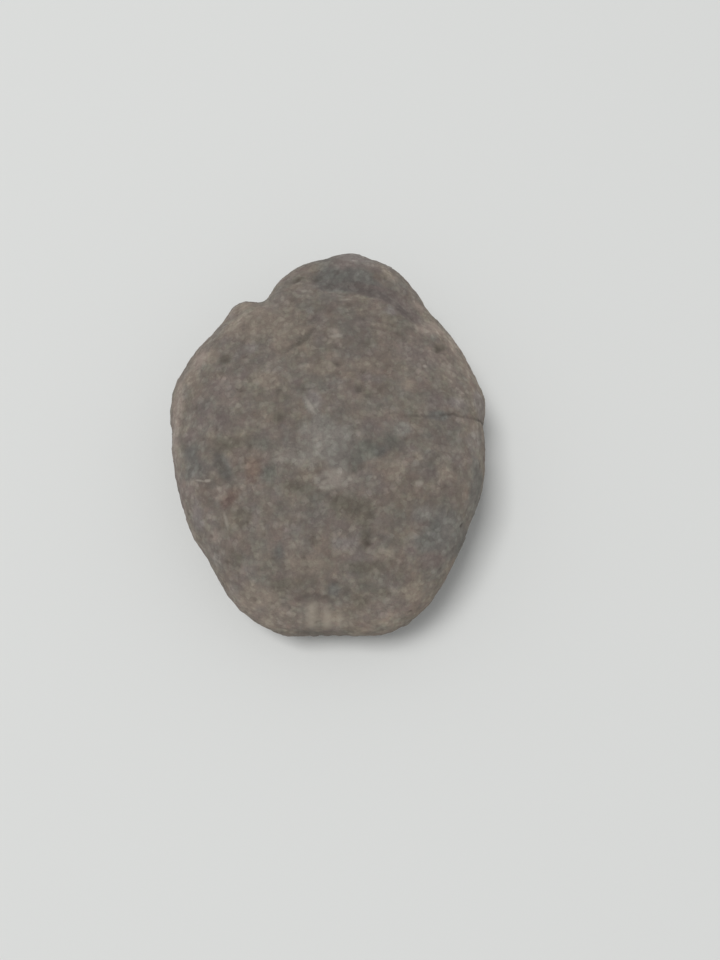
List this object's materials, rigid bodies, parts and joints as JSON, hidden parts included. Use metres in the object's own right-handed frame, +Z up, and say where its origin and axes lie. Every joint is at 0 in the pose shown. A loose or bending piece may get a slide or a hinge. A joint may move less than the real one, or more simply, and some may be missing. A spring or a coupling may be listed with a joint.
{
  "type": "fossil trilobite",
  "caption": "Worn, partly rolled-up fossil trilobite in one stone, lying on its back with its filled belly side up.",
  "frame": {"origin": "on the table, under the middle of the stone's box as it rests on its worn back", "axes": "X across the body, +Y towards the head, +Z up, out of the belly side"},
  "size_m": [0.0336, 0.0416, 0.0148],
  "materials": {
    "fossil_stone": "worn, dull brown-grey limestone, sandy to the touch, with blue-grey, tan and iron-red stains"
  },
  "bodies": {
    "root": {"trilobite_fossil": "fossil_stone"}
  },
  "joints": []
}
